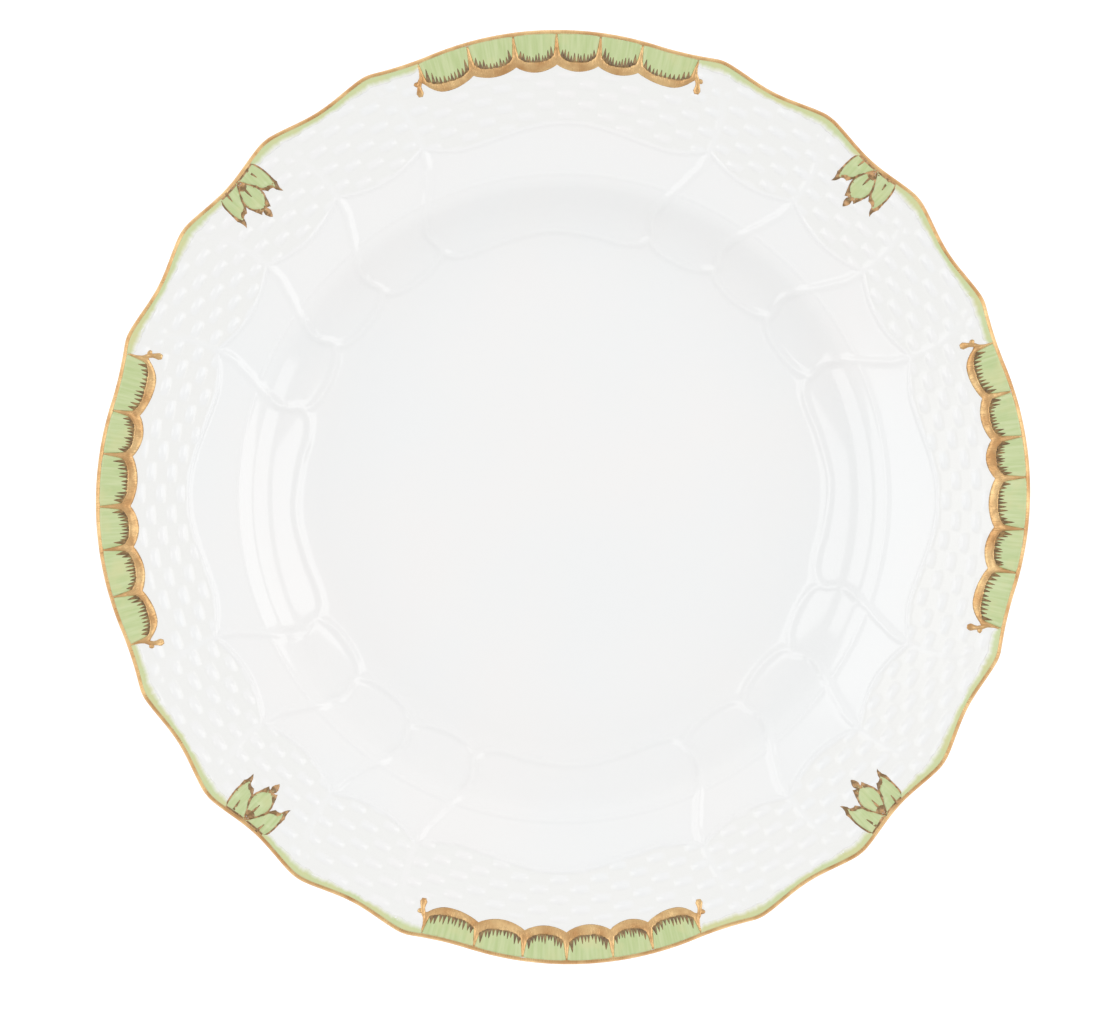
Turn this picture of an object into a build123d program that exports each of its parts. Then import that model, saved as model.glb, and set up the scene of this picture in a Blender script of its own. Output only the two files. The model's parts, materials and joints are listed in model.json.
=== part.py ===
"""Scalloped china dinner plate with painted scale bands and leaf sprigs.

Frame: the origin is at the centre of the foot ring's resting plane, +Z is up out of the well.
All lengths are millimetres and all turns are degrees, counted from +X towards +Y.
The plate is one fired body; its glaze, enamel and gilding are modelled as the thin separate
layers they really are, each one lying on the layer below it.
"""
import os
from math import cos, radians, sin

from build123d import *

# Outline of the rim, repeated four times round the plate.
CREST_RADIUS = 133.5          # middle of the four wide lobes
HOLLOW_RADIUS = 131.84        # where the lobe's convex crest turns concave
HOLLOW_TURN = 14.3            # turn of that point from the middle of the lobe
CUSP_RADIUS = 133.0           # the sixteen points
CUSP_TURNS = (22.5, 37.5, 52.5, 67.5)
DIP_RADIUS = 130.66           # lowest part of the narrow scallops
CUSP_ROUND = 4.0
MOULD_TURN = 2.5              # the moulded pattern is turned this much from the axes
EDGE_ROUND = 0.9              # rounding of the rim's upper and lower edges

# Section through the plate, on the glaze.
WELL_RADIUS = 70.0            # flat floor of the well
WELL_Z = 6.5
CAVETTO_RADIUS = 24.0         # concave curve from the floor into the wall
CAVETTO_SLOPE = 40.0
WALL_RUN = 4.3
SHOULDER_RADIUS = 10.0        # convex curve from the wall out to the rim
RIM_SLOPE = 12.5
RIM_RUN = 52.0                # longer than the rim; the outline cuts it
UNDER_RIM_SLOPE = 14.2        # steeper, so that the rim thins towards its edge
FLOOR_THICKNESS = 4.0
FOOT_OUTER_RADIUS = 79.8
FOOT_INNER_RADIUS = 76.4
FOOT_ROOT_RADIUS = 75.6
FOOT_ROOT_TURN = 24.0         # where the foot leaves the round underside
BARE_FOOT_HEIGHT = 1.0        # unglazed lower part of the foot

# Thickness of the fired layers.
GLAZE = 0.3
GOLD = 0.25
ENAMEL = 0.15
STROKE = 0.12

# Moulded relief.
RIB_WIDTH = 1.5
RIB_HEIGHT = 0.6
LINE_WIDTH = 1.1
LINE_HEIGHT = 0.45
RIB_PATH = ((129.0, -0.7), (118.0, -2.3), (105.0, -3.0), (92.0, 0.0), (78.5, 0.6))
BORDER_TURN = -3.0            # the ribs have swung this far where they meet the border line
BORDER_CUSP_RADIUS = 107.3
BORDER_DIP_RADIUS = 103.4
BORDER_MIDDLE_RADIUS = 107.0
TOE_TURN = 0.4
TOE_CUSP_RADIUS = 78.5
TOE_DIP_RADIUS = 74.2
TOE_MIDDLE_RADIUS = 76.2
WIDE_DIP_TURN = 16.3          # dips of the wide panels, from the panel's middle
WIDE_HOLLOW_TURN = 10.0       # where those dips turn into the hollow middle

# Painted rim.
GOLD_LINE = 1.0               # width of the gold line at the edge
BANDS = {"east": (1.5, 19.1), "north": (90.5, 18.9), "west": (180.2, 19.4), "south": (269.8, 18.7)}
SCALES = 6
NOTCH_RADIUS = 122.2          # festoon's inner edge between two scales
BULGE_RADIUS = 120.2          # and at the middle of a scale
SCALE_RADIUS = 122.9          # lowest point of the enamel of a scale
SCALE_CORNER_RADIUS = 126.2
DIVIDER = 0.2                 # half the turn of the gold line between two scales
STROKES = 10
STROKE_WIDTH = 0.35
STROKE_LENGTH = 2.1
KNOB_RADIUS = 1.2
KNOB_PLACE = 122.4
KNOB_TURN = 1.35
BUD_RADIUS = 0.8
BUD_PLACE = 127.4
BUD_TURN = 0.3
STEM_WIDTH = 0.7
SPRIGS = {"north_east": 46.1, "north_west": 136.0, "south_west": 225.4, "south_east": 315.5}
LEAF_WIDTH = 6.2
LEAF_LINE = 0.4
MIDDLE_LEAF = ((0.0, 127.6), (0.0, 115.7))     # base and tip: turn from the sprig, radius
SIDE_LEAF = ((1.4, 130.2), (3.6, 118.9))
WASH_WIDTH = 1.8
WASH_GAP = 0.6                # turn left clear between the wash and its neighbours
SPRIG_HALF_TURN = 3.9


def polar(radius, turn):
    """Point in the plan at a radius and a turn."""
    return (radius * cos(radians(turn)), radius * sin(radians(turn)))


def rim_height(radius):
    """Height of the glazed rim's face at a radius."""
    steep = radians(CAVETTO_SLOPE)
    gentle = radians(RIM_SLOPE)
    shoulder_end = WELL_RADIUS + CAVETTO_RADIUS * sin(steep) + WALL_RUN * cos(steep)
    shoulder_end += SHOULDER_RADIUS * (sin(steep) - sin(gentle))
    height = WELL_Z + CAVETTO_RADIUS * (1 - cos(steep)) + WALL_RUN * sin(steep)
    height += SHOULDER_RADIUS * (cos(gentle) - cos(steep))
    return height + (radius - shoulder_end) * sin(gentle) / cos(gentle)


def quarter_turns():
    """Middles of the four wide lobes."""
    return [90 * quarter + MOULD_TURN for quarter in range(4)]


def beside(edge, distance):
    """Arc parallel to an arc, a distance to its right."""
    points = []
    for share in (0, 0.5, 1):
        along = edge % share
        points.append((edge @ share) + Vector(along.Y, -along.X) * distance)
    return ThreePointArc(*points)


def ribbon(path, width):
    """Strip of constant width along a chain of tangent arcs, all drawn in one direction."""
    with BuildSketch() as strip:
        with BuildLine():
            right = [beside(edge, width / 2) for edge in path]
            left = [beside(edge, -width / 2) for edge in path]
            Line(left[0] @ 0, right[0] @ 0)
            Line(left[-1] @ 1, right[-1] @ 1)
        make_face()
    return strip.sketch


def rim_outline(grow):
    """The lobed outline in plan, moved outwards by grow."""
    with BuildSketch() as lobes:
        with BuildLine():
            for middle in quarter_turns():
                crest = ThreePointArc(
                    polar(HOLLOW_RADIUS, middle - HOLLOW_TURN),
                    polar(CREST_RADIUS, middle),
                    polar(HOLLOW_RADIUS, middle + HOLLOW_TURN),
                )
                TangentArc(crest @ 1, polar(CUSP_RADIUS, middle + CUSP_TURNS[0]), tangent=crest % 1)
                TangentArc(crest @ 0, polar(CUSP_RADIUS, middle - CUSP_TURNS[0]), tangent=-(crest % 0))
                for first, last in zip(CUSP_TURNS, CUSP_TURNS[1:]):
                    ThreePointArc(
                        polar(CUSP_RADIUS, middle + first),
                        polar(DIP_RADIUS, middle + (first + last) / 2),
                        polar(CUSP_RADIUS, middle + last),
                    )
        make_face()
        cusps = [v for v in lobes.vertices() if abs(Vector(v.X, v.Y).length - CUSP_RADIUS) < 0.05]
        fillet(cusps, radius=CUSP_ROUND)
    if not grow:
        return lobes.sketch
    with BuildSketch() as moved:
        with BuildLine():
            for edge in lobes.edges():
                middle = edge @ 0.5
                along = edge % 0.5
                outwards = 1 if along.Y * middle.X - along.X * middle.Y > 0 else -1
                beside(edge, grow * outwards)
        make_face()
    return moved.sketch


def face_line(grow):
    """Upper line of the section from the centre out over the rim; returns its two ends."""
    floor = Line((0, WELL_Z + grow), (WELL_RADIUS, WELL_Z + grow))
    bowl = JernArc(floor @ 1, (1, 0), CAVETTO_RADIUS - grow, CAVETTO_SLOPE)
    wall = PolarLine(bowl @ 1, WALL_RUN, CAVETTO_SLOPE)
    shoulder = JernArc(wall @ 1, wall % 1, SHOULDER_RADIUS + grow, RIM_SLOPE - CAVETTO_SLOPE)
    rim = PolarLine(shoulder @ 1, RIM_RUN, RIM_SLOPE)
    return floor @ 0, rim @ 1


def half_section(grow):
    """Half of the plate's section, every line moved outwards by grow; the foot's tip stays at zero."""
    base_z = WELL_Z - FLOOR_THICKNESS
    round_centre_z = WELL_Z + CAVETTO_RADIUS
    under_radius = CAVETTO_RADIUS + FLOOR_THICKNESS + grow
    root_x = WELL_RADIUS + under_radius * sin(radians(FOOT_ROOT_TURN))
    root_z = round_centre_z - under_radius * cos(radians(FOOT_ROOT_TURN))
    root_direction = (cos(radians(FOOT_ROOT_TURN)), sin(radians(FOOT_ROOT_TURN)))
    with BuildSketch(Plane.XZ) as half:
        with BuildLine():
            centre, edge = face_line(grow)
            under_bowl = JernArc((root_x, root_z), root_direction, under_radius, CAVETTO_SLOPE - FOOT_ROOT_TURN)
            under_wall = PolarLine(under_bowl @ 1, WALL_RUN, CAVETTO_SLOPE)
            under_shoulder = JernArc(
                under_wall @ 1,
                under_wall % 1,
                SHOULDER_RADIUS - FLOOR_THICKNESS - grow,
                UNDER_RIM_SLOPE - CAVETTO_SLOPE,
            )
            under_rim = PolarLine(under_shoulder @ 1, RIM_RUN, UNDER_RIM_SLOPE)
            Line(edge, under_rim @ 1)
            Polyline(
                under_bowl @ 0,
                (FOOT_OUTER_RADIUS + grow, 0),
                (FOOT_INNER_RADIUS - grow, 0),
                (FOOT_ROOT_RADIUS - grow, base_z - grow),
                (0, base_z - grow),
                centre,
            )
        make_face()
    return half.sketch


def on_face(plans, low, high):
    """Flat plans laid on the plate's face, between two heights measured square to it."""
    with BuildPart() as layer:
        with BuildSketch():
            for plan in plans:
                add(plan)
        extrude(amount=60)
        with BuildSketch(Plane.XZ):
            with BuildLine():
                low_centre, low_edge = face_line(low)
                high_centre, high_edge = face_line(high)
                Line(low_centre, high_centre)
                Line(low_edge, high_edge)
            make_face()
        revolve(axis=Axis.Z, mode=Mode.INTERSECT)
    return layer.part


def rib_plan(grow):
    """The sixteen S-shaped ribs in plan, three arcs each."""
    with BuildSketch() as plan:
        for middle in quarter_turns():
            for cusp in CUSP_TURNS:
                start, bend, belly, cross, toe = [polar(radius, middle + cusp + swing) for radius, swing in RIB_PATH]
                with BuildLine(mode=Mode.PRIVATE):
                    upper = ThreePointArc(start, bend, belly)
                    lower = TangentArc(upper @ 1, cross, tangent=upper % 1)
                    foot = TangentArc(lower @ 1, toe, tangent=lower % 1)
                add(ribbon([upper, lower, foot], RIB_WIDTH + 2 * grow))
    return plan.sketch


def border_plan(turn, cusp_radius, dip_radius, middle_radius, grow):
    """A scalloped line right round the plate, with its cusps on the ribs."""
    width = LINE_WIDTH + 2 * grow
    hollow_radius = (dip_radius + middle_radius) / 2
    with BuildSketch() as plan:
        for middle in quarter_turns():
            start = middle + turn
            with BuildLine(mode=Mode.PRIVATE):
                rise = ThreePointArc(
                    polar(cusp_radius, start - CUSP_TURNS[0]),
                    polar(dip_radius, start - WIDE_DIP_TURN),
                    polar(hollow_radius, start - WIDE_HOLLOW_TURN),
                )
                across = TangentArc(rise @ 1, polar(hollow_radius, start + WIDE_HOLLOW_TURN), tangent=rise % 1)
                fall = ThreePointArc(
                    polar(hollow_radius, start + WIDE_HOLLOW_TURN),
                    polar(dip_radius, start + WIDE_DIP_TURN),
                    polar(cusp_radius, start + CUSP_TURNS[0]),
                )
            add([ribbon([rise], width), ribbon([across], width), ribbon([fall], width)])
            for first, last in zip(CUSP_TURNS, CUSP_TURNS[1:]):
                with BuildLine(mode=Mode.PRIVATE):
                    narrow = ThreePointArc(
                        polar(cusp_radius, start + first),
                        polar(dip_radius, start + (first + last) / 2),
                        polar(cusp_radius, start + last),
                    )
                add(ribbon([narrow], width))
    return plan.sketch


def smooth_plate(grow):
    """The whole plate without relief, every surface moved outwards by grow."""
    with BuildPart() as plate:
        with BuildSketch(Plane.XZ):
            add(half_section(grow))
        revolve(axis=Axis.Z)
        with BuildSketch():
            add(rim_outline(grow))
        extrude(amount=60, mode=Mode.INTERSECT)
        rim_edges = [
            edge
            for edge in plate.edges()
            if edge.length > 0.01
            and Vector(edge.center().X, edge.center().Y).length > 125
            and edge.bounding_box().size.Z < 1.2
        ]
        fillet(rim_edges, radius=EDGE_ROUND + grow)
    return plate.part


def moulded_plate(smooth, grow):
    """A smooth plate with the ribs and the two scalloped lines raised on its face."""
    border = border_plan(BORDER_TURN, BORDER_CUSP_RADIUS, BORDER_DIP_RADIUS, BORDER_MIDDLE_RADIUS, grow)
    toes = border_plan(TOE_TURN, TOE_CUSP_RADIUS, TOE_DIP_RADIUS, TOE_MIDDLE_RADIUS, grow)
    with BuildPart() as plate:
        add(smooth)
        add(on_face([rib_plan(grow)], grow - 0.5, grow + RIB_HEIGHT))
        add(on_face([border, toes], grow - 0.5, grow + LINE_HEIGHT))
    return plate.part


def sector(middle, half_turn, inner_radius, outer_radius):
    """A plain piece of the rim in plan."""
    with BuildSketch() as piece:
        with BuildLine():
            inner = ThreePointArc(
                polar(inner_radius, middle - half_turn),
                polar(inner_radius, middle),
                polar(inner_radius, middle + half_turn),
            )
            outer = ThreePointArc(
                polar(outer_radius, middle - half_turn),
                polar(outer_radius, middle),
                polar(outer_radius, middle + half_turn),
            )
            Line(inner @ 0, outer @ 0)
            Line(inner @ 1, outer @ 1)
        make_face()
    return piece.sketch


def scale_plan(middle, half_turn):
    """The six enamel scales of one band in plan."""
    step = 2 * half_turn / SCALES
    with BuildSketch() as plan:
        for number in range(SCALES):
            centre = middle - half_turn + step * (number + 0.5)
            side = step / 2 - DIVIDER
            with BuildLine():
                bottom = ThreePointArc(
                    polar(SCALE_CORNER_RADIUS, centre - side),
                    polar(SCALE_RADIUS, centre),
                    polar(SCALE_CORNER_RADIUS, centre + side),
                )
                Polyline(
                    bottom @ 1,
                    polar(CREST_RADIUS + 3, centre + side),
                    polar(CREST_RADIUS + 3, centre - side),
                    bottom @ 0,
                )
            make_face()
        add(rim_outline(-GOLD_LINE), mode=Mode.INTERSECT)
    return plan.sketch


def festoon_plan(middle, half_turn):
    """The gilding of one band: scalloped festoon, lines between the scales, finials at both ends."""
    step = 2 * half_turn / SCALES
    with BuildSketch() as plan:
        with BuildLine():
            for number in range(SCALES):
                left = middle - half_turn + step * number
                ThreePointArc(
                    polar(NOTCH_RADIUS, left),
                    polar(BULGE_RADIUS, left + step / 2),
                    polar(NOTCH_RADIUS, left + step),
                )
            Polyline(
                polar(NOTCH_RADIUS, middle + half_turn),
                polar(CREST_RADIUS + 3, middle + half_turn),
                polar(CREST_RADIUS + 3, middle),
                polar(CREST_RADIUS + 3, middle - half_turn),
                polar(NOTCH_RADIUS, middle - half_turn),
            )
        make_face()
        for side in (-1, 1):
            with Locations(polar(KNOB_PLACE, middle + side * (half_turn + KNOB_TURN))):
                Circle(KNOB_RADIUS)
            with Locations(polar(BUD_PLACE, middle + side * (half_turn + BUD_TURN))):
                Circle(BUD_RADIUS)
            with BuildLine(mode=Mode.PRIVATE):
                stem = ThreePointArc(
                    polar(KNOB_PLACE, middle + side * (half_turn + KNOB_TURN)),
                    polar(KNOB_PLACE + 1.9, middle + side * (half_turn + 0.9 * KNOB_TURN)),
                    polar(KNOB_PLACE + 3.0, middle + side * (half_turn - 0.2)),
                )
            add(ribbon([stem], STEM_WIDTH))
        add(scale_plan(middle, half_turn), mode=Mode.SUBTRACT)
        add(rim_outline(-GOLD_LINE), mode=Mode.INTERSECT)
    return plan.sketch


def stroke_bars(middle, half_turn):
    """Combs of short dark strokes rising from the festoon into each scale of a band."""
    step = 2 * half_turn / SCALES
    places = []
    for number in range(SCALES):
        centre = middle - half_turn + step * (number + 0.5)
        for stroke in range(STROKES):
            across = (stroke + 0.5) / STROKES * 2 - 1
            turn = centre + across * (step / 2 - 3 * DIVIDER)
            rise = (SCALE_CORNER_RADIUS - SCALE_RADIUS) * across ** 2
            radius = SCALE_RADIUS + rise + 0.3 + STROKE_LENGTH / 2
            outwards = polar(cos(radians(RIM_SLOPE)), turn)
            inwards = polar(-sin(radians(RIM_SLOPE)), turn)
            face = Plane(
                origin=(*polar(radius, turn), rim_height(radius)),
                x_dir=(*outwards, sin(radians(RIM_SLOPE))),
                z_dir=(*inwards, cos(radians(RIM_SLOPE))),
            )
            places.append(face.offset(ENAMEL + STROKE / 2))
    with BuildPart() as comb:
        with Locations(*places):
            Box(STROKE_LENGTH, STROKE_WIDTH, STROKE)
    return comb.part


def leaf_shape(middle, side, place, grow):
    """One pointed leaf between two circular arcs; the base and tip are given by turn and radius."""
    (base_turn, base_radius), (tip_turn, tip_radius) = place
    base = Vector(*polar(base_radius, middle + side * base_turn))
    tip = Vector(*polar(tip_radius, middle + side * tip_turn))
    along = (tip - base).normalized()
    across = along.rotate(Axis.Z, 90) * (LEAF_WIDTH / 2 + grow)
    belly = base + (tip - base) * 0.45
    with BuildSketch() as leaf:
        with BuildLine():
            ThreePointArc(base - along * grow, belly + across, tip + along * 2 * grow)
            ThreePointArc(base - along * grow, belly - across, tip + along * 2 * grow)
        make_face()
    return leaf.sketch


def leaf_plan(middle):
    """Enamel of the three leaves of one sprig in plan."""
    with BuildSketch() as plan:
        for side in (-1, 1):
            add(leaf_shape(middle, side, SIDE_LEAF, 0))
        add(leaf_shape(middle, 1, MIDDLE_LEAF, LEAF_LINE), mode=Mode.SUBTRACT)
        add(leaf_shape(middle, 1, MIDDLE_LEAF, 0))
        add(rim_outline(-GOLD_LINE), mode=Mode.INTERSECT)
    return plan.sketch


def leaf_line_plan(middle):
    """Painted outlines round the three leaves of one sprig in plan."""
    with BuildSketch() as plan:
        for side in (-1, 1):
            add(leaf_shape(middle, side, SIDE_LEAF, LEAF_LINE))
        add(leaf_shape(middle, 1, MIDDLE_LEAF, LEAF_LINE))
        add(leaf_plan(middle), mode=Mode.SUBTRACT)
        add(rim_outline(-GOLD_LINE), mode=Mode.INTERSECT)
    return plan.sketch


def wash_plan(start, finish):
    """Strip of thin wash just inside the gold line, between two turns."""
    with BuildSketch() as plan:
        add(sector((start + finish) / 2, (finish - start) / 2, 120.0, CREST_RADIUS + 3))
        add(rim_outline(-GOLD_LINE), mode=Mode.INTERSECT)
        add(rim_outline(-GOLD_LINE - WASH_WIDTH), mode=Mode.SUBTRACT)
    return plan.sketch


# The glazed plate, then the same plate without its glaze; the tip of the foot is never glazed.
smooth_glazed = smooth_plate(0)
glazed = moulded_plate(smooth_glazed, 0)
unglazed = moulded_plate(smooth_plate(-GLAZE), -GLAZE)

with BuildPart() as foot_tip:
    with BuildSketch(Plane.XZ):
        add(half_section(0))
        with Locations((FOOT_OUTER_RADIUS, 0)):
            Rectangle(20, 2 * BARE_FOOT_HEIGHT, mode=Mode.INTERSECT)
    revolve(axis=Axis.Z)

with BuildPart() as porcelain_body:
    add(unglazed)
    add(foot_tip.part)

with BuildPart() as glaze:
    add(glazed)
    add(porcelain_body.part, mode=Mode.SUBTRACT)

with BuildPart() as gold_rim_line:
    add(smooth_plate(GOLD))
    add(smooth_glazed, mode=Mode.SUBTRACT)
    with BuildSketch():
        add(rim_outline(-GOLD_LINE))
    extrude(amount=60, mode=Mode.SUBTRACT)

glaze_pieces = sorted(glaze.part.solids(), key=lambda piece: piece.bounding_box().size.X)

os.makedirs("parts", exist_ok=True)
porcelain_body.part.label = "porcelain_body"
export_step(porcelain_body.part, "parts/porcelain_body.step")
gold_rim_line.part.label = "gold_rim_line"
export_step(gold_rim_line.part, "parts/gold_rim_line.step")
for label, piece in (("glaze_base", glaze_pieces[0]), ("glaze_face", glaze_pieces[-1])):
    piece.label = label
    export_step(piece, f"parts/{label}.step")

# The four painted bands.
for side, (middle, half_turn) in BANDS.items():
    scales = on_face([scale_plan(middle, half_turn)], 0, ENAMEL)
    festoon = on_face([festoon_plan(middle, half_turn)], 0, GOLD)
    strokes = stroke_bars(middle, half_turn)
    for label, piece in (("scale_enamel", scales), ("gilt_festoon", festoon), ("comb_strokes", strokes)):
        piece.label = f"{label}_{side}"
        export_step(piece, f"parts/{label}_{side}.step")

# The four leaf sprigs, and the strips of wash on both sides of each.
band_middles = [middle for middle, half_turn in BANDS.values()]
band_halves = [half_turn for middle, half_turn in BANDS.values()]
for number, (side, middle) in enumerate(SPRIGS.items()):
    leaves = on_face([leaf_plan(middle)], 0, ENAMEL)
    lines = on_face([leaf_line_plan(middle)], 0, ENAMEL)
    following = (number + 1) % 4
    start = band_middles[number] + band_halves[number] + WASH_GAP
    finish = band_middles[following] - band_halves[following] - WASH_GAP
    if following == 0:
        finish += 360
    before = wash_plan(start, middle - SPRIG_HALF_TURN - WASH_GAP)
    after = wash_plan(middle + SPRIG_HALF_TURN + WASH_GAP, finish)
    wash = on_face([before, after], 0, ENAMEL)
    for label, piece in (("leaf_enamel", leaves), ("leaf_outline", lines), ("edge_wash", wash)):
        piece.label = f"{label}_{side}"
        export_step(piece, f"parts/{label}_{side}.step")
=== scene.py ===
import json
import random

import bpy
import numpy as np
from mathutils.geometry import delaunay_2d_cdt
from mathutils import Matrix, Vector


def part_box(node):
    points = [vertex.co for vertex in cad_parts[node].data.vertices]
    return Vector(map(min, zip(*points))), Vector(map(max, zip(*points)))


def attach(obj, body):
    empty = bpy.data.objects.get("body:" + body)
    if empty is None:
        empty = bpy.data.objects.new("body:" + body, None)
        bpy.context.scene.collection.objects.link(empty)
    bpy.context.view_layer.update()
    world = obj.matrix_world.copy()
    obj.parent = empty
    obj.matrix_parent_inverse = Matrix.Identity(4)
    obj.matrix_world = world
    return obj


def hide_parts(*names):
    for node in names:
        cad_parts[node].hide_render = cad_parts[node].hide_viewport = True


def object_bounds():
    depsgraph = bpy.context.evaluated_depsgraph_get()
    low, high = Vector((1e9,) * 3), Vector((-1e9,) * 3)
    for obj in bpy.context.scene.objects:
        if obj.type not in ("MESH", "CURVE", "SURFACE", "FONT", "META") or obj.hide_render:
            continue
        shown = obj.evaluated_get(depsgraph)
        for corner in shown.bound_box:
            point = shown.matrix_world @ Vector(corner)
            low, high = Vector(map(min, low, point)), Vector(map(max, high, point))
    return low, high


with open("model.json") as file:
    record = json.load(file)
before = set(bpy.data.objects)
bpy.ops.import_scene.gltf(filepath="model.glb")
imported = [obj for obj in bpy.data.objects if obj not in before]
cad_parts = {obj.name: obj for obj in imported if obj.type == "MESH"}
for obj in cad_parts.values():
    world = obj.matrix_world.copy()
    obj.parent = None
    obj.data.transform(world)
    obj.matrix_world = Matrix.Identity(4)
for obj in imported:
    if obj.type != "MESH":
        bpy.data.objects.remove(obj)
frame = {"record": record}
cad_low, cad_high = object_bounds()

# Lengths are millimetres and turns are degrees from +X towards +Y; make_piece() makes them metres.
METRE = 0.001
random.seed(7)

# ---- places taken from the frame
face_low, face_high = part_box("glaze_face")
foot_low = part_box("porcelain_body")[0]
mounts = {mount["name"]: mount for mount in frame["record"]["mounts"]}
CREST_RADIUS = (face_high.x - face_low.x) / 2 / METRE + 0.04  # a crest is 2.5 degrees off the x axis
WELL_Z = mounts["well_floor"]["pos_m"][2] / METRE
FOOT_MIDDLE = mounts["foot_ring"]["pos_m"][0] / METRE
FOOT_Z = foot_low.z / METRE

# ---- outline of the rim
MOULD_TURN = 2.5  # the moulded pattern is turned this much from the painted bands
HOLLOW_RADIUS = CREST_RADIUS - 1.66  # where the crest of a wide lobe turns hollow
HOLLOW_TURN = 14.3  # turn of that point from the middle of the lobe
CUSP_RADIUS = CREST_RADIUS - 0.5
CUSP_TURNS = (22.5, 37.5, 52.5, 67.5)
DIP_RADIUS = CREST_RADIUS - 3.05  # lowest part of a narrow scallop
CUSP_SOFTNESS = 0.35  # how far the glaze rounds the cusps
OUTSIDE = 1000.0  # a radius that is never the nearest
NARROW = 15.0  # turn of a narrow scallop

# ---- section of the face and the back
WELL_RADIUS = 70.0  # flat floor
CAVETTO_RADIUS = 24.0  # hollow curve from the floor to the wall
CAVETTO_SLOPE = 40.0
WALL_RUN = 4.3
SHOULDER_RADIUS = 10.0  # round curve from the wall to the rim
RIM_SLOPE = 12.5
FLOOR_THICKNESS = 4.0
UNDER_RIM_SLOPE = 14.2  # steeper, so that the rim thins towards its edge
BASE_Z = WELL_Z - FLOOR_THICKNESS
FOOT_ROOT_SLOPE = 26.0  # slope of the round underside where the foot leaves it
FOOT_WIDTH = 3.4
BARE_FOOT = 1.0  # height of the unglazed tip
EDGE_INSET = 1.25  # the rounding of the edge starts this far in

# ---- moulded relief
RIB_HEIGHT = 0.5
RIB_SPREAD = 1.05  # distance at which a rib has fallen to a third of its height
RIB_REACH = 4.0  # nothing of it is left this far away
RIB_ON_WEAVE = 0.3  # share of its height on the basketwork
BORDER_HEIGHT = 0.38
BORDER_SPREAD = 0.55
BORDER_TURN = -3.0  # the ribs have swung this far where they meet the border line
BORDER_CUSP = 107.5
BORDER_DIP = 103.6
BORDER_MIDDLE = 107.2
WIDE_DIP_TURN = 16.3
SHOULDER_LINE = 93.0
SHOULDER_LINE_HEIGHT = 0.26
SHOULDER_LINE_SPREAD = 0.55
EDGE_MARGIN = 1.6  # the relief ends this far inside the edge
BAND_DEPTH = 11.5  # at a painted band the basketwork ends this far inside the edge
NUB_HEIGHT = 0.4
NUB_ROW = 2.87  # distance between two rows of basketwork
NUB_FIRST_ROW = 106.6
NUB_TURN = 6.0  # turn from one nub to the next in a row

# Ribs: radius and swing from the cusp they start at, from the edge in to the well.
RIB_UPPER = ((133.0, 0.0), (126.4, -1.2), (119.9, -2.3), (114.2, -2.9), (107.2, -3.0), (102.4, -2.7),
             (99.2, -1.9), (95.8, -1.0), (92.4, 0.2), (88.0, 1.6), (85.6, 2.1), (83.2, 2.0), (80.4, 1.2))
# Then each rib hooks back as a festoon to the rib before it; the swing is a share of the way there.
TOE_NARROW = ((78.0, 0.0), (76.0, 0.16), (75.2, 0.45), (76.2, 0.76), (78.6, 0.97))
TOE_WIDE = ((78.0, 0.005), (76.0, 0.05), (75.3, 0.14), (76.0, 0.28), (77.2, 0.5), (76.2, 0.72),
            (75.3, 0.86), (76.4, 0.95), (78.6, 0.99))

# ---- painted rim
GOLD_LINE = 1.25  # width of the gold line on the face
LAYER_START = GOLD_LINE - 0.12  # painted areas start this far in, just under the gold line
# Each band: the turn it starts at, then the turns its six hand-painted scales take up.
BANDS = {
    "east": (-16.75, (7.25, 5.5, 6.45, 5.1, 5.7, 6.5)),
    "north": (72.7, (7.25, 5.35, 5.5, 5.4, 5.8, 6.55)),
    "west": (161.75, (7.35, 5.5, 6.6, 5.4, 5.95, 6.35)),
    "south": (251.95, (6.8, 6.2, 5.5, 5.8, 5.05, 6.3)),
}
NOTCH_RADIUS = 123.6  # inner edge of the gilding between two middle scales
BULGE_RADIUS = 121.7  # and in the middle of a scale
SCALE_RADIUS = 124.7  # bottom of a middle scale
SCALE_CORNER = 126.5
SCALE_SQUARE = 3.2  # power of the curve between the two: the higher, the squarer
BAND_DROP = 1.2  # the end scales lie this much further in
BAND_INSET = {"east": 0.0, "north": 0.0, "west": 0.0, "south": -0.8}  # south is the shallowest
END_TOP = 124.6  # the festoon ends no further out than this
END_LIFT = 1.9  # how far the festoon turns up to the post at each end of a band
END_SHARE = 0.35  # over this share of the end scale
STROKES = 11
WEDGE_TURN = 0.45  # half the turn of the gilding between two scales at their corners
LINE_TURN = 0.1  # and where it ends at the rim
# Each sprig: the turn of its middle, and the bands on both sides of it.
SPRIGS = {
    "north_east": (46.1, "east", "north"),
    "north_west": (136.0, "north", "west"),
    "south_west": (225.4, "west", "south"),
    "south_east": (315.5, "south", "east"),
}
SPRIG_HALF_TURN = 3.4
WASH_OVERLAP = 0.5  # the wash runs this far in under the outer leaves
# Post and knob at the end of a band: radius, swing past the end of the band, and width.
FINIAL = ((130.6, 0.0, 0.42), (128.4, 0.04, 0.5), (126.6, 0.2, 0.75), (125.3, 0.5, 1.3),
          (124.2, 0.74, 1.15), (123.2, 0.86, 1.5), (122.2, 0.94, 2.1), (121.3, 1.0, 1.1))
BUD_RADIUS = 125.0  # the bud beside the post
# Outer side of the gilding at the end of a band: radius and swing past the end.
END_SIDE = ((125.0, 0.34), (126.6, 0.22), (128.4, 0.13), (130.4, 0.1))


# ---- plan geometry
def turned(radius, turn):
    """Plan points at radii and turns, as rows of x and y."""
    angle = np.radians(turn)
    return np.stack(np.broadcast_arrays(radius * np.cos(angle), radius * np.sin(angle)), axis=-1)


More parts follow.
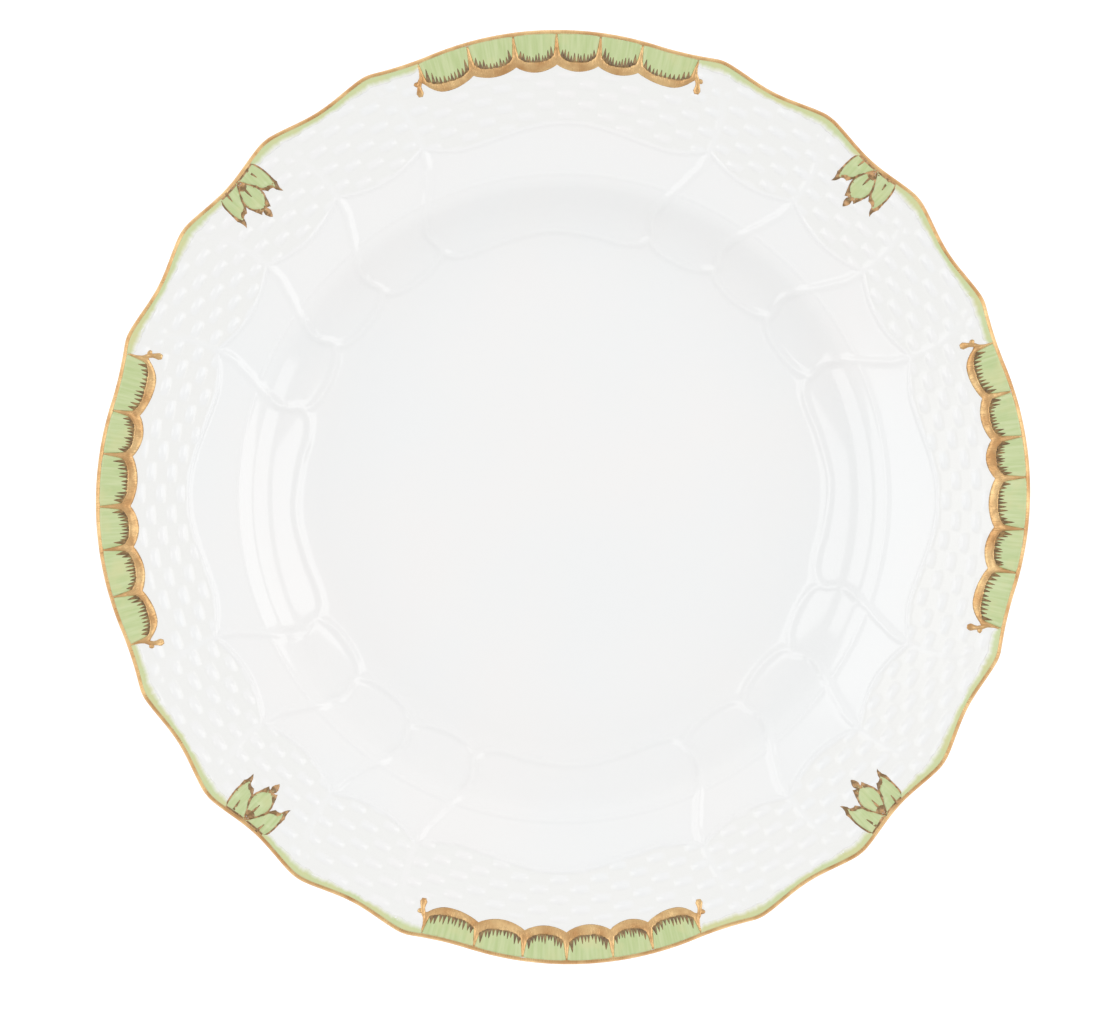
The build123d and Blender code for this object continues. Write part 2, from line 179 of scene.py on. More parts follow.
def circle_through(a, b, c):
    """Centre and radius of the circle through three plan points."""
    rows = 2 * np.array([b - a, c - a])
    values = np.array([b @ b - a @ a, c @ c - a @ a])
    centre = np.linalg.solve(rows, values)
    return centre, np.linalg.norm(a - centre)


def seen_from_centre(turn, centre, radius, far):
    """Radius at which rays from the plate's centre meet a circle."""
    along = centre[0] * np.cos(np.radians(turn)) + centre[1] * np.sin(np.radians(turn))
    square = radius ** 2 - centre @ centre + along ** 2
    root = np.sqrt(np.maximum(square, 0.0))
    met = along + root if far else along - root
    return np.where(square > 0, met, OUTSIDE)


def make_outline():
    """Circles of one wide lobe's crest and hollow."""
    start = turned(HOLLOW_RADIUS, HOLLOW_TURN)
    crest = circle_through(turned(HOLLOW_RADIUS, -HOLLOW_TURN), turned(CREST_RADIUS, 0.0), start)
    cusp = turned(CUSP_RADIUS, CUSP_TURNS[0])
    outward = (start - crest[0]) / crest[1]
    hollow_radius = (cusp - start) @ (cusp - start) / (2 * outward @ (cusp - start))
    hollow = (start + outward * hollow_radius, hollow_radius)
    return crest, hollow


CREST, HOLLOW = make_outline()


def from_lobe(turn):
    """Turn from the middle of the nearest wide lobe, between -45 and 45."""
    return (turn - MOULD_TURN + 45) % 90 - 45


def scallop_radius(turn):
    """Radius of a narrow scallop at a turn from its middle: part arc, part wave."""
    across = np.abs(turn) / (NARROW / 2)
    wave = (1 - np.cos(np.pi * across)) / 2
    inside = DIP_RADIUS + (CUSP_RADIUS - DIP_RADIUS) * (0.5 * across ** 2 + 0.5 * wave)
    return np.where(across < 1, inside, CUSP_RADIUS + 4 * (across - 1))


def outline_radius(turn):
    """Radius of the lobed edge at a turn."""
    place = np.abs(from_lobe(turn))
    crest = seen_from_centre(place, CREST[0], CREST[1], True)
    hollow = seen_from_centre(place, HOLLOW[0], abs(HOLLOW[1]), False)
    wide = np.where(place < HOLLOW_TURN, crest, hollow)
    wide = np.where(place > CUSP_TURNS[0] + 4, OUTSIDE, wide)
    choices = np.stack([wide, scallop_radius(place - 30), scallop_radius(place - 45)])
    lowest = choices.min(axis=0)
    return lowest - CUSP_SOFTNESS * np.log(np.exp((lowest - choices) / CUSP_SOFTNESS).sum(axis=0))


def smooth_path(path, steps=8):
    """Points of a Catmull-Rom curve through plan points."""
    path = np.asarray(path, float)
    padded = np.vstack([2 * path[0] - path[1], path, 2 * path[-1] - path[-2]])
    share = np.linspace(0, 1, steps, endpoint=False)[:, None]
    curve = []
    for a, b, c, d in zip(padded, padded[1:], padded[2:], padded[3:]):
        curve.append(0.5 * (2 * b + (c - a) * share + (2 * a - 5 * b + 4 * c - d) * share ** 2
                            + (3 * b - a - 3 * c + d) * share ** 3))
    return np.vstack(curve + [path[-1:]])


def distance_to_path(x, y, path, reach):
    """Distance from plan points to an open path, capped at reach."""
    distance = np.full(x.shape, reach)
    near = ((x > path[:, 0].min() - reach) & (x < path[:, 0].max() + reach)
            & (y > path[:, 1].min() - reach) & (y < path[:, 1].max() + reach))
    px = x[near][:, None]
    py = y[near][:, None]
    start = path[:-1]
    step = path[1:] - start
    length = (step ** 2).sum(axis=1)
    share = np.clip(((px - start[:, 0]) * step[:, 0] + (py - start[:, 1]) * step[:, 1]) / length, 0, 1)
    dx = px - start[:, 0] - share * step[:, 0]
    dy = py - start[:, 1] - share * step[:, 1]
    distance[near] = np.minimum(reach, np.sqrt((dx ** 2 + dy ** 2).min(axis=1)))
    return distance


# ---- height of the face
SLOPE = np.radians(CAVETTO_SLOPE)
GENTLE = np.radians(RIM_SLOPE)
BOWL_END = WELL_RADIUS + CAVETTO_RADIUS * np.sin(SLOPE)
BOWL_END_Z = WELL_Z + CAVETTO_RADIUS * (1 - np.cos(SLOPE))
WALL_END = BOWL_END + WALL_RUN * np.cos(SLOPE)
WALL_END_Z = BOWL_END_Z + WALL_RUN * np.sin(SLOPE)
SHOULDER_END = WALL_END + SHOULDER_RADIUS * (np.sin(SLOPE) - np.sin(GENTLE))
SHOULDER_END_Z = WALL_END_Z + SHOULDER_RADIUS * (np.cos(GENTLE) - np.cos(SLOPE))
# The same places on the underside, one floor thickness away.
UNDER = np.radians(UNDER_RIM_SLOPE)
UNDER_REACH = CAVETTO_RADIUS + FLOOR_THICKNESS
UNDER_BEND = SHOULDER_RADIUS - FLOOR_THICKNESS
UNDER_WALL_END = WELL_RADIUS + UNDER_REACH * np.sin(SLOPE) + WALL_RUN * np.cos(SLOPE)
UNDER_WALL_END_Z = WELL_Z + CAVETTO_RADIUS - UNDER_REACH * np.cos(SLOPE) + WALL_RUN * np.sin(SLOPE)


def face_height(radius):
    """Height of the smooth face, and its slope as an angle."""
    bowl_sine = np.clip((radius - WELL_RADIUS) / CAVETTO_RADIUS, 0, np.sin(SLOPE))
    shoulder_sine = np.sin(SLOPE) - (radius - WALL_END) / SHOULDER_RADIUS
    shoulder_sine = np.clip(shoulder_sine, np.sin(GENTLE), np.sin(SLOPE))
    bowl = WELL_Z + CAVETTO_RADIUS * (1 - np.sqrt(1 - bowl_sine ** 2))
    wall = BOWL_END_Z + (radius - BOWL_END) * np.tan(SLOPE)
    shoulder = WALL_END_Z + SHOULDER_RADIUS * (np.sqrt(1 - shoulder_sine ** 2) - np.cos(SLOPE))
    rim = SHOULDER_END_Z + (radius - SHOULDER_END) * np.tan(GENTLE)
    height = np.where(radius < BOWL_END, bowl, np.where(radius < WALL_END, wall,
                      np.where(radius < SHOULDER_END, shoulder, rim)))
    slope = np.where(radius < WALL_END, np.arcsin(bowl_sine), np.arcsin(shoulder_sine))
    return height, slope


def under_shoulder(angle):
    """Radius and height of the underside's shoulder where its slope is a given angle."""
    return (UNDER_WALL_END + UNDER_BEND * (np.sin(SLOPE) - np.sin(angle)),
            UNDER_WALL_END_Z + UNDER_BEND * (np.cos(angle) - np.cos(SLOPE)))


def under_height(radius):
    """Height of the underside of the rim."""
    start, start_z = under_shoulder(UNDER)
    return start_z + (radius - start) * np.tan(UNDER)


def rib_paths():
    """Centre lines of the sixteen ribs with the festoons at their toes."""
    paths = []
    for quarter in range(4):
        for number, cusp in enumerate(CUSP_TURNS):
            start = 90 * quarter + MOULD_TURN + cusp
            toe = TOE_WIDE if number == 0 else TOE_NARROW
            back = 2 * CUSP_TURNS[0] if number == 0 else NARROW
            polar = [(radius, start + swing) for radius, swing in RIB_UPPER]
            polar += [(radius, start + 0.9 - back * share) for radius, share in toe]
            paths.append(smooth_path([turned(radius, turn) for radius, turn in polar]))
    return paths


RIBS = rib_paths()


def border_radius(turn):
    """Radius of the scalloped line between the basketwork and the plain band."""
    place = np.abs(from_lobe(turn - BORDER_TURN))
    hollow = BORDER_DIP + (BORDER_MIDDLE - BORDER_DIP) * np.cos(np.radians(90 * place / WIDE_DIP_TURN)) ** 2
    rise = np.clip((place - WIDE_DIP_TURN) / (CUSP_TURNS[0] - WIDE_DIP_TURN), 0, 1)
    wide = np.where(place < WIDE_DIP_TURN, hollow, BORDER_DIP + (BORDER_CUSP - BORDER_DIP) * rise ** 1.7)
    across = ((place - CUSP_TURNS[0]) % NARROW) / NARROW * 2 - 1
    narrow = BORDER_DIP + (BORDER_CUSP - BORDER_DIP) * across ** 2
    return np.where(place < CUSP_TURNS[0], wide, narrow)


def relief(x, y):
    """Height of the moulded pattern above the smooth face."""
    radius = np.hypot(x, y)
    turn = np.degrees(np.arctan2(y, x))
    from_rib = np.full(x.shape, RIB_REACH)
    for path in RIBS:
        from_rib = np.minimum(from_rib, distance_to_path(x, y, path, RIB_REACH))
    edge = outline_radius(turn)
    inside = np.clip((edge - EDGE_MARGIN - radius) / 1.4, 0, 1)
    full = np.clip((BORDER_CUSP + 1 - radius) / 3.0, 0, 1)
    faded = np.clip((radius - 118) / 8, 0, 1)
    strength = RIB_ON_WEAVE + (1 - RIB_ON_WEAVE) * full - RIB_ON_WEAVE * faded
    ribs = RIB_HEIGHT * strength * np.exp(-(from_rib / RIB_SPREAD) ** 2) * inside
    from_border = radius - border_radius(turn)
    border = BORDER_HEIGHT * np.exp(-(from_border / BORDER_SPREAD) ** 2)
    weave = np.clip((from_border - 0.2) / 1.0, 0, 1) * inside * np.clip(from_rib / 1.6 - 0.25, 0, 1)
    row = np.cos(np.pi * (radius - NUB_FIRST_ROW) / NUB_ROW)
    nub = np.clip(row * np.cos(2 * np.pi * from_lobe(turn) / NUB_TURN), 0, 1) ** 1.1
    for start, widths in BANDS.values():
        middle = start + sum(widths) / 2
        beside = np.abs((turn - middle + 180) % 360 - 180) - sum(widths) / 2
        weave = weave * np.clip(np.maximum(beside - 0.2, (edge - BAND_DEPTH - radius) / 1.2), 0, 1)
    shoulder = SHOULDER_LINE_HEIGHT * np.exp(-((radius - SHOULDER_LINE) / SHOULDER_LINE_SPREAD) ** 2)
    shoulder = shoulder * np.clip(from_rib / 1.5 - 0.6, 0, 1)
    return np.maximum(ribs, border) + NUB_HEIGHT * nub * weave + shoulder


def on_face(plan, lift=0.0):
    """Points of the moulded face above plan points, lifted square to it."""
    x = plan[..., 0]
    y = plan[..., 1]
    radius = np.hypot(x, y)
    height, slope = face_height(radius)
    raised = relief(x, y) + lift
    shrink = 1 - raised * np.sin(slope) / np.maximum(radius, 1.0)
    edge = outline_radius(np.degrees(np.arctan2(y, x)))
    rounding = np.clip(1 - (edge - radius) / EDGE_INSET, 0, 1)
    half_edge = (face_height(edge - EDGE_INSET)[0] - under_height(edge - EDGE_INSET)) / 2
    dropped = half_edge * (1 - np.sqrt(1 - rounding ** 2))
    return np.stack([x * shrink, y * shrink, height + raised * np.cos(slope) - dropped], axis=-1)


# ---- mesh helpers
def new_object(name, data):
    """An object in the scene for a mesh, a light or a camera."""
    made = bpy.data.objects.new(name, data)
    bpy.context.scene.collection.objects.link(made)
    return made


def make_piece(name, vertices, faces, material, replaces):
    """A shaded piece in metres that rides on the plate and stands for CAD nodes."""
    mesh = bpy.data.meshes.new(name)
    mesh.from_pydata([tuple(point) for point in np.asarray(vertices) * METRE], [], faces)
    mesh.polygons.foreach_set("use_smooth", [True] * len(mesh.polygons))
    mesh.validate()
    mesh.update()
    mesh.materials.append(material)
    piece = new_object(name, mesh)
    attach(piece, "root")
    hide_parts(*replaces)
    return piece


def ring_faces(outer_start, outer_count, inner_start, inner_count):
    """Faces between two rings of points; the inner one has as many points or half as many."""
    outer = outer_start + np.arange(outer_count)
    inner = inner_start + np.arange(inner_count)
    outer_next = np.roll(outer, -1)
    inner_next = np.roll(inner, -1)
    if outer_count == inner_count:
        return np.stack([inner, outer, outer_next, inner_next], axis=1).tolist()
    even = outer[0::2]
    odd = outer[1::2]
    after = outer_next[1::2]
    triangles = [np.stack([inner, even, odd], axis=1), np.stack([inner, odd, inner_next], axis=1),
                 np.stack([inner_next, odd, after], axis=1)]
    return np.concatenate(triangles).tolist()


def lathe(rings):
    """Vertices and faces of a skin through rings of points, from the face's centre to the back's."""
    starts = np.cumsum([0] + [len(ring) for ring in rings])
    vertices = np.vstack(rings)
    faces = []
    for number in range(len(rings) - 1):
        here = len(rings[number])
        there = len(rings[number + 1])
        if here >= there:
            strip = ring_faces(starts[number], here, starts[number + 1], there)
            faces += [face[::-1] for face in strip]
        else:
            faces += ring_faces(starts[number + 1], there, starts[number], here)
    return vertices, faces


def tube(rings):
    """Vertices and faces of a ring-shaped skin; the last ring of points joins the first."""
    count = len(rings[0])
    faces = []
    for number in range(len(rings)):
        here = number * count
        there = (number + 1) % len(rings) * count
        faces += [face[::-1] for face in ring_faces(here, count, there, count)]
    return np.vstack(rings), faces


def all_round(count):
    """Turns of a ring of points."""
    return np.arange(count) * 360.0 / count


def at_height(plan, height):
    """Plan points with a height each, or one for all."""
    return np.column_stack([plan, np.broadcast_to(height, len(plan))])


def set_attribute(piece, name, values):
    """Stores one number per vertex for a material to read."""
    attribute = piece.data.attributes.new(name, "FLOAT", "POINT")
    attribute.data.foreach_set("value", np.asarray(values, np.float32))


# ---- material helpers
def linear(red, green, blue):
    """Linear colour of screen values between 0 and 255."""
    values = np.array([red, green, blue]) / 255
    return (*np.where(values < 0.04045, values / 12.92, ((values + 0.055) / 1.055) ** 2.4), 1.0)


class Paint:
    """A node material under construction; object coordinates are metres."""

    def __init__(self, name):
        self.material = bpy.data.materials.new(name)
        self.material.use_nodes = True
        self.nodes = self.material.node_tree.nodes
        self.links = self.material.node_tree.links
        self.shader = self.nodes["Principled BSDF"]
        self.place = self.nodes.new("ShaderNodeTexCoord").outputs["Object"]

    def join(self, socket, value):
        """Puts a number, a colour or another node's output into a socket."""
        if isinstance(value, bpy.types.NodeSocket):
            self.links.new(value, socket)
        else:
            socket.default_value = value

    def math(self, operation, first, second=0.0):
        node = self.nodes.new("ShaderNodeMath")
        node.operation = operation
        self.join(node.inputs[0], first)
        self.join(node.inputs[1], second)
        return node.outputs[0]

    def noise(self, scale, detail=3.0, place=None):
        node = self.nodes.new("ShaderNodeTexNoise")
        self.join(node.inputs["Vector"], place or self.place)
        node.inputs["Scale"].default_value = scale
        node.inputs["Detail"].default_value = detail
        return node.outputs["Fac"]

    def ramp(self, value, low, high, start=0.0, end=1.0):
        node = self.nodes.new("ShaderNodeMapRange")
        for socket, given in zip(node.inputs, (value, low, high, start, end)):
            self.join(socket, given)
        return node.outputs[0]

    def mix(self, share, first, second):
        node = self.nodes.new("ShaderNodeMix")
        node.data_type = "RGBA"
        self.join(node.inputs[0], share)
        self.join(node.inputs[6], first)
        self.join(node.inputs[7], second)
        return node.outputs[2]

    def attribute(self, name):
        node = self.nodes.new("ShaderNodeAttribute")
        node.attribute_name = name
        return node.outputs["Fac"]

    def along_brush(self, across, along):
        """Coordinates counted in turn and radius, for brush marks that run in and out on the rim."""
        parts = self.nodes.new("ShaderNodeSeparateXYZ")
        self.join(parts.inputs[0], self.place)
        turn = self.math("ARCTAN2", parts.outputs[1], parts.outputs[0])
        x_square = self.math("POWER", parts.outputs[0], 2.0)
        y_square = self.math("POWER", parts.outputs[1], 2.0)
        squares = self.math("ADD", x_square, y_square)
        joined = self.nodes.new("ShaderNodeCombineXYZ")
        self.join(joined.inputs[0], self.math("MULTIPLY", turn, across))
        self.join(joined.inputs[1], self.math("MULTIPLY", self.math("SQRT", squares), along))
        return joined.outputs[0]

    def bump(self, height, strength, distance):
        node = self.nodes.new("ShaderNodeBump")
        node.inputs["Strength"].default_value = strength
        node.inputs["Distance"].default_value = distance
        self.join(node.inputs["Height"], height)
        self.join(self.shader.inputs["Normal"], node.outputs[0])

    def finish(self, colour, roughness, metallic=0.0, coat=0.0):
        self.join(self.shader.inputs["Base Color"], colour)
        self.join(self.shader.inputs["Roughness"], roughness)
        self.shader.inputs["Metallic"].default_value = metallic
        self.shader.inputs["Coat Weight"].default_value = coat
        self.shader.inputs["Coat Roughness"].default_value = 0.06
        return self.material


def glaze_material():
    """White porcelain under clear gloss glaze, with painted shade in the hollows of the basketwork."""
    paint = Paint("clear_glaze")
    cloudy = paint.ramp(paint.noise(18.0), 0.35, 0.65)
    white = paint.mix(cloudy, GLAZE_WHITE, GLAZE_COOL)
    # Painted shade: the hollows of the basketwork get a darker glaze colour.
    hollow_shaded = paint.mix(paint.attribute("hollow_shade"), white, GLAZE_HOLLOW_SHADE)
    paint.bump(paint.noise(70.0, 2.0), 0.06, 0.0006)
    return paint.finish(hollow_shaded, paint.ramp(paint.noise(40.0), 0.3, 0.7, 0.07, 0.13), coat=0.2)


def biscuit_material():
    """Bare fired porcelain, matte with a fine grain."""
    paint = Paint("bare_biscuit")
    grain = paint.noise(2600.0, 4.0)
    stained = paint.mix(paint.ramp(paint.noise(120.0), 0.45, 0.75), BISCUIT, BISCUIT_STAIN)
    colour = paint.mix(paint.ramp(grain, 0.3, 0.7, 0.0, 0.4), stained, BISCUIT_GRAIN)
    paint.bump(grain, 0.35, 0.00012)
    return paint.finish(colour, 0.82)


def gold_material():
    """Burnished gilding with brush marks, thinner and browner in places."""
    paint = Paint("soft_gold")
    marks = paint.noise(1.0, 4.0, paint.along_brush(420.0, 260.0))
    broad = paint.noise(160.0, 3.0)
    colour = paint.mix(paint.ramp(broad, 0.35, 0.65), GOLD_DEEP, GOLD_BRIGHT)
    colour = paint.mix(paint.ramp(marks, 0.58, 0.75, 0.0, 0.55), colour, GOLD_WORN)
    wavy = paint.math("ADD", paint.math("MULTIPLY", marks, 0.2), paint.noise(330.0, 1.0))
    paint.bump(wavy, 0.8, 0.0005)
    return paint.finish(colour, paint.ramp(marks, 0.3, 0.7, 0.24, 0.38), metallic=0.92)


def enamel_material(name, light, dark, warm):
    """Translucent overglaze enamel put on with radial brush strokes, thicker in patches."""
    paint = Paint(name)
    strokes = paint.noise(1.0, 5.0, paint.along_brush(150.0, 90.0))
    patches = paint.noise(130.0, 3.0)
    colour = paint.mix(paint.ramp(strokes, 0.34, 0.66), light, dark)
    colour = paint.mix(paint.ramp(patches, 0.52, 0.72, 0.0, 0.75), colour, warm)
    paint.bump(strokes, 0.18, 0.00006)
    return paint.finish(colour, paint.ramp(patches, 0.3, 0.7, 0.16, 0.26), coat=0.3)


def stroke_material(name, dark, thin):
    """Dark painted line work that goes thin and warm where the brush ran dry."""
    paint = Paint(name)
    wet = paint.noise(700.0, 3.0)
    colour = paint.mix(paint.ramp(wet, 0.42, 0.66), dark, thin)
    paint.bump(wet, 0.15, 0.00005)
    return paint.finish(colour, 0.24, coat=0.2)


def wash_material():
    """Pale green wash that fades to the white of the plate away from the edge."""
    paint = Paint("green_wash")
    strokes = paint.noise(1.0, 4.0, paint.along_brush(110.0, 160.0))
    uneven = paint.math("ADD", paint.attribute("fade"), paint.ramp(strokes, 0.3, 0.7, -0.1, 0.1))
    share = paint.ramp(uneven, 0.42, 1.0)
    green = paint.mix(paint.ramp(paint.noise(150.0), 0.4, 0.65), ENAMEL_LIGHT, ENAMEL_WARM)
    return paint.finish(paint.mix(share, green, GLAZE_WHITE), 0.14, coat=0.2)


GLAZE_WHITE = linear(241, 240, 239)
GLAZE_COOL = linear(239, 240, 240)
# Painted shade for the hollows between the basketwork nubs.
GLAZE_HOLLOW_SHADE = linear(238, 238, 236)
BISCUIT = linear(226, 221, 210)
BISCUIT_STAIN = linear(200, 190, 172)
BISCUIT_GRAIN = linear(214, 208, 196)
GOLD_DEEP = linear(199, 153, 103)
GOLD_BRIGHT = linear(230, 194, 140)
GOLD_WORN = linear(172, 130, 86)
ENAMEL_LIGHT = linear(201, 212, 161)
ENAMEL_DARK = linear(185, 201, 142)
ENAMEL_WARM = linear(209, 210, 155)
OLIVE_WET = linear(112, 86, 50)
OLIVE_DRY = linear(158, 126, 76)
BROWN_WET = linear(128, 98, 58)
BROWN_DRY = linear(206, 160, 110)

glaze_paint = glaze_material()
biscuit_paint = biscuit_material()
gold_paint = gold_material()
green_paint = enamel_material("green_enamel", ENAMEL_LIGHT, ENAMEL_DARK, ENAMEL_WARM)
olive_paint = stroke_material("olive_enamel", OLIVE_WET, OLIVE_DRY)
brown_paint = stroke_material("brown_enamel", BROWN_WET, BROWN_DRY)
wash_paint = wash_material()


# ---- the glazed plate
COLUMNS = 1728  # halves six times to 27
# Rings of points, as radius and number of points, on the floor of the well and inside the foot.
FLOOR_RINGS = ((2.0, 27), (6.0, 54), (14.0, 108), (26.0, 108),
               (40.0, 216), (52.0, 216), (61.0, 432), (67.0, 432))
BACK_RINGS = ((56.0, 216), (40.0, 108), (24.0, 54), (10.0, 27))
CAVETTO_START = 69.0  # from here the rings are close enough for the ribs
CAVETTO_STEP = 0.42
WEAVE_START = 91.8  # and from here for the basketwork
WEAVE_STEP = 0.327
UNDER_END = 95.5  # innermost ring under the rim
UNDER_STEP = 1.5
MORPH_START = 112.0  # outside this the rings of points take the lobed shape
# The foot's two sides: distance out from the outer side, or in from the inner one, and height.
FOOT_OUTSIDE = ((2.3, 5.9), (1.5, 4.7), (0.95, 3.4), (0.6, 2.2), (0.3, BARE_FOOT + 0.25), (0.05, BARE_FOOT))
FOOT_INSIDE = ((0.05, BARE_FOOT), (0.35, BARE_FOOT + 0.3), (0.65, 1.8), (1.3, BASE_Z - 0.12),
               (2.4, BASE_Z), (8.0, BASE_Z))
# Half of the bare tip's section: distance in from its side, and height.
FOOT_TIP = ((0.05, BARE_FOOT + 0.06), (0.1, 0.55), (0.35, 0.18), (0.8, 0.0))


def ring_plan(radius, count):
    """Plan points of a ring that is round inside and lobed towards the edge."""
    turn = all_round(count)
    edge = outline_radius(turn) - EDGE_INSET
    share = max(0.0, (radius - MORPH_START) / (CREST_RADIUS - EDGE_INSET - MORPH_START))
    return turned(np.minimum(radius, MORPH_START) + share * (edge - MORPH_START), turn)


def back_line():
    """Section of the back from the rim's shoulder down to the foot ring."""
    line = [under_shoulder(angle) for angle in np.linspace(UNDER, SLOPE, 6)]
    for angle in np.linspace(SLOPE, np.radians(FOOT_ROOT_SLOPE), 8):
        line.append((WELL_RADIUS + UNDER_REACH * np.sin(angle),
                     WELL_Z + CAVETTO_RADIUS - UNDER_REACH * np.cos(angle)))
    return line


def glazed_plate():
    """Face, edge and back in one glazed skin that stops at the bare foot ring."""
    rings = []
    for radius, count in FLOOR_RINGS:
        rings.append(on_face(ring_plan(radius, count)))
    for radius in np.arange(CAVETTO_START, WEAVE_START - 0.2, CAVETTO_STEP):
        rings.append(on_face(ring_plan(radius, COLUMNS // 2)))
    for radius in np.arange(WEAVE_START, CREST_RADIUS - EDGE_INSET + 0.01, WEAVE_STEP):
        rings.append(on_face(ring_plan(radius, COLUMNS)))
    turn = all_round(COLUMNS)
    edge = outline_radius(turn)
    top = rings[-1][:, 2]
    bottom = under_height(edge - EDGE_INSET)
    for angle in np.radians(np.arange(15.0, 181.0, 15.0)):
        plan = turned(edge - EDGE_INSET * (1 - np.sin(angle)), turn)
        height = (top + bottom) / 2 + (top - bottom) / 2 * np.cos(angle)
        rings.append(at_height(plan, height))
    for radius in np.arange(CREST_RADIUS - EDGE_INSET - 1.4, UNDER_END, -UNDER_STEP):
        plan = ring_plan(radius, COLUMNS // 2)
        rings.append(at_height(plan, under_height(np.hypot(plan[:, 0], plan[:, 1]))))
    foot_out = FOOT_MIDDLE + FOOT_WIDTH / 2
    foot_in = FOOT_MIDDLE - FOOT_WIDTH / 2
    section = back_line()
    section += [(foot_out + across, height) for across, height in FOOT_OUTSIDE]
    section += [(foot_in - across, height) for across, height in FOOT_INSIDE]
    for radius, height in section:
        rings.append(at_height(turned(radius, all_round(COLUMNS // 4)), height))
    for radius, count in BACK_RINGS:
        rings.append(at_height(turned(radius, all_round(count)), BASE_Z))
    vertices, faces = lathe(rings)
    first_count = FLOOR_RINGS[0][1]
    last_start = len(vertices) - BACK_RINGS[-1][1]
    faces.append(list(range(first_count)))
    faces.append(list(range(last_start, len(vertices)))[::-1])
    piece = make_piece("glazed_plate", vertices, faces, glaze_paint,
                       ["glaze_face", "glaze_base"])
    x, y, z = vertices.T
    radius = np.hypot(x, y)
    above = z - face_height(radius)[0]
    on_weave = (radius > border_radius(np.degrees(np.arctan2(y, x)))) & (above > -0.05)
    # Painted shade: the low points of the basketwork, between its nubs, are marked for a darker glaze
    # colour.
    set_attribute(piece, "hollow_shade", np.where(on_weave, np.clip(1 - above / 0.2, 0, 1), 0.0))


def bare_foot():
    """The unglazed tip of the foot ring, where the porcelain body shows."""
    half = FOOT_WIDTH / 2
    section = [(-half + inset, height) for inset, height in FOOT_TIP] + [(0.0, 0.0)]
    section += [(half - inset, height) for inset, height in FOOT_TIP[::-1]]
    rings = []
    for across, height in section:
        rings.append(at_height(turned(FOOT_MIDDLE + across, all_round(COLUMNS // 4)), FOOT_Z + height))
    vertices, faces = tube(rings[::-1])
    make_piece("bare_foot_ring", vertices, faces, biscuit_paint, ["porcelain_body"])


# ---- painted layers
SUNK = 0.10  # the hidden side of a painted layer lies this deep in the glaze
BORDER_THICK = 0.02  # thickness of a layer at its border, before it swells
SCALE_THICK = 0.10
STROKE_THICK = 0.05
GILT_THICK = 0.2
BROWN_THICK = 0.05
LEAF_THICK = 0.07
ON_SCALE = 0.09  # the strokes lie this high, on the enamel of the scales
ON_LEAF = 0.17  # and the veins this high, on the leaves
LEAF_STEP = 0.014  # each leaf lies this much over the one before
SPACING = 0.55  # distance between the points that fill a painted area


def closed(loop):
    """A loop with its first point repeated at the end."""
    return np.vstack([loop, loop[:1]])


def inside_loop(points, loop):
    """Which plan points lie inside a loop."""
    x = points[:, :1]
    y = points[:, 1:]
    start = loop
    end = np.roll(loop, -1, axis=0)
    crosses = (start[:, 1] > y) != (end[:, 1] > y)
    rise = np.where(end[:, 1] == start[:, 1], 1e-9, end[:, 1] - start[:, 1])
    at = start[:, 0] + (y - start[:, 1]) * (end[:, 0] - start[:, 0]) / rise
    return (crosses & (x < at)).sum(axis=1) % 2 == 1


def fill_loop(loop, spacing):
    """Points and triangles that fill a loop, with a hexagonal spread of points inside it."""
    inner = np.zeros((0, 2))
    if spacing:
        low = loop.min(axis=0)
        high = loop.max(axis=0)
        rows = np.arange(low[1], high[1], spacing * 0.87)
        columns = np.arange(low[0], high[0], spacing)
        x, y = np.meshgrid(columns, rows)
        x[1::2] += spacing / 2
        spread = np.column_stack([x.ravel(), y.ravel()])
        spread = spread[inside_loop(spread, loop)]
        clear = distance_to_path(spread[:, 0], spread[:, 1], closed(loop), 2.0)
        inner = spread[clear > spacing * 0.45]
    points = np.vstack([loop, inner])
    result = delaunay_2d_cdt([tuple(p) for p in points], [], [list(range(len(loop)))], 1, 1e-7)
    return np.array([tuple(p) for p in result[0]]), [tuple(face) for face in result[2]]


class Layer:
    """A painted layer: closed thin skins laid over the moulded face."""

    def __init__(self):
        self.plans = []
        self.lifts = []
        self.faces = []
        self.count = 0

    def add(self, loop, thickness, spacing=0.0, base=0.0, roll=0.35):
        """Adds one area; its surface rolls down to base at its border."""
        points, triangles = fill_loop(loop, spacing)
        depth = distance_to_path(points[:, 0], points[:, 1], closed(loop), 2.0)
        share = np.clip(depth / roll, 0, 1)
        top = base + BORDER_THICK + (thickness - BORDER_THICK) * np.sqrt(share * (2 - share))
        size = len(points)
        used = {}
        for a, b, c in triangles:
            for edge in ((a, b), (b, c), (c, a)):
                used[edge] = used.get(edge, 0) + 1
        for a, b, c in triangles:
            self.faces.append([self.count + a, self.count + b, self.count + c])
            self.faces.append([self.count + size + c, self.count + size + b, self.count + size + a])
        for a, b in used:
            if (b, a) not in used:
                wall = [b, a, size + a, size + b]
                self.faces.append([self.count + corner for corner in wall])
        self.plans += [points, points]
        self.lifts += [top, np.full(size, -SUNK)]
        self.count += 2 * size

    def piece(self, name, material, slot, replaces):
        """Lays the areas on the face and makes the piece."""
        vertices = on_face(np.vstack(self.plans), np.concatenate(self.lifts))
        return make_piece(name, vertices, self.faces, material, replaces)


def ribbon(path, widths):
    """Loop round a path, with a width at each of its points."""
    path = np.asarray(path, float)
    widths = np.asarray(widths, float)
    along = np.gradient(path, axis=0)
    along /= np.linalg.norm(along, axis=1)[:, None]
    side = np.column_stack([-along[:, 1], along[:, 0]]) * widths[:, None] / 2
    return np.vstack([path - side, (path + side)[::-1]])


def blob(radius, turn, across, along):
    """A slightly uneven oval spot at a place on the rim."""
    angle = np.radians(all_round(16))
    wobble = 1 + 0.07 * np.sin(3 * angle + random.uniform(0, 6)) + 0.04 * np.sin(5 * angle)
    swing = np.degrees(across * wobble * np.sin(angle) / radius)
    return turned(radius + along * wobble * np.cos(angle), turn + swing)


